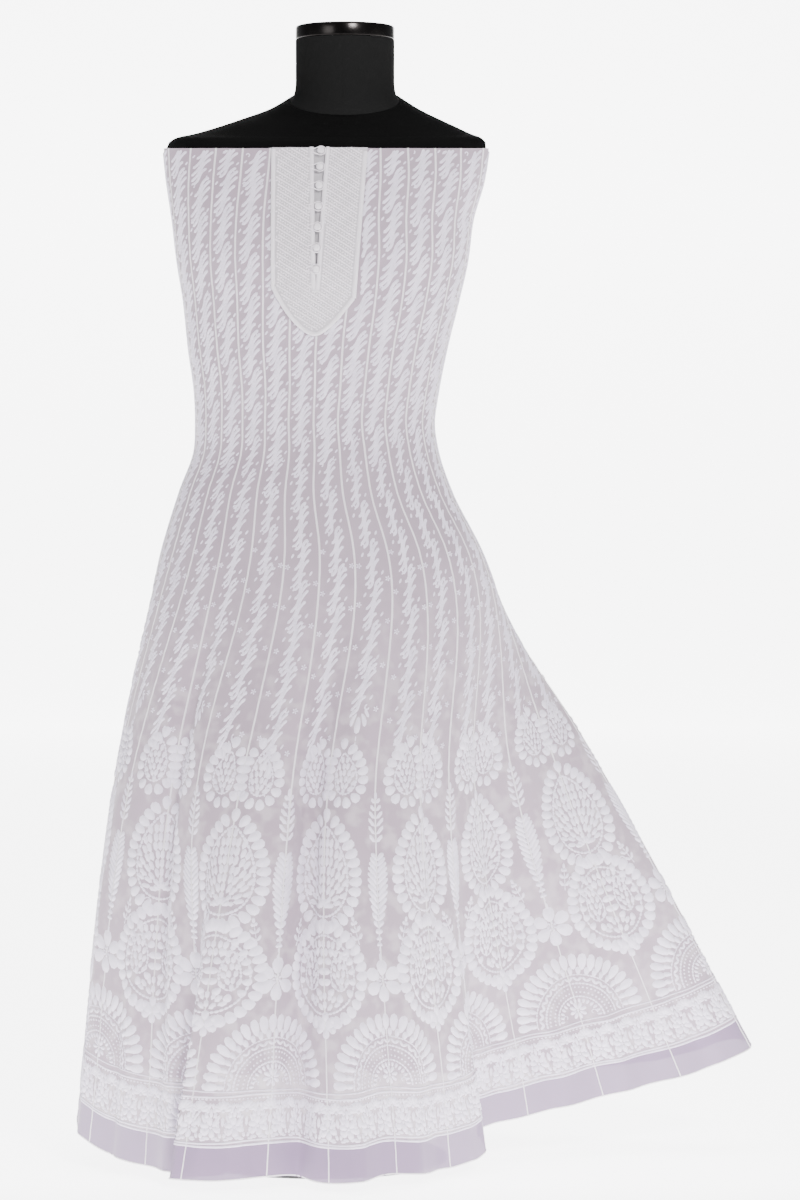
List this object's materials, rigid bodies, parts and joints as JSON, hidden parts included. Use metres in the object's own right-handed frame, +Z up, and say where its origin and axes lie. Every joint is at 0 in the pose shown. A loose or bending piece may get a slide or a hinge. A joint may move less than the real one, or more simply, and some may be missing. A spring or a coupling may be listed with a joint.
{
  "type": "dress form with anarkali gown",
  "caption": "Black limbless dress form wearing a sleeveless floor-skimming anarkali gown of white embroidered net panels, skirt spread to one side, buttoned placket.",
  "frame": {"origin": "on the floor at the middle of the underside of the base plate", "axes": "+Z up along the pole, -Y out of the front of the gown, +X towards the side to which the skirt is spread"},
  "size_m": [0.8042, 0.5351, 1.338],
  "materials": {
    "net": "matte",
    "thread": "satin",
    "slip": "matte",
    "placket": "matte",
    "form_cloth": "matte",
    "neck_cloth": "matte",
    "dark_chrome": "polished",
    "black_paint": "satin",
    "steel": "satin"
  },
  "bodies": {
    "root": {"kali_01": "net", "kali_02": "net", "kali_03": "net", "kali_04": "net", "kali_05": "net", "kali_06": "net", "kali_07": "net", "kali_08": "net", "kali_09": "net", "kali_10": "net", "kali_11": "net", "kali_12": "net", "kali_13": "net", "kali_14": "net", "kali_15": "net", "kali_16": "net", "kali_17": "net", "kali_18": "net", "kali_19": "net", "kali_20": "net", "kali_21": "net", "kali_22": "net", "kali_23": "net", "kali_24": "net", "kali_25": "net", "kali_26": "net", "lining_slip": "slip", "placket": "placket", "placket_piping": "placket", "slit_piping": "placket", "button_1": "placket", "loop_1": "placket", "button_2": "placket", "loop_2": "placket", "button_3": "placket", "loop_3": "placket", "button_4": "placket", "loop_4": "placket", "button_5": "placket", "loop_5": "placket", "button_6": "placket", "loop_6": "placket", "button_7": "placket", "loop_7": "placket", "form_torso": "form_cloth", "form_neck": "neck_cloth", "neck_rim": "dark_chrome", "base_plate": "black_paint", "pole": "steel", "pole_collar": "steel", "pole_socket": "steel"}
  },
  "joints": []
}
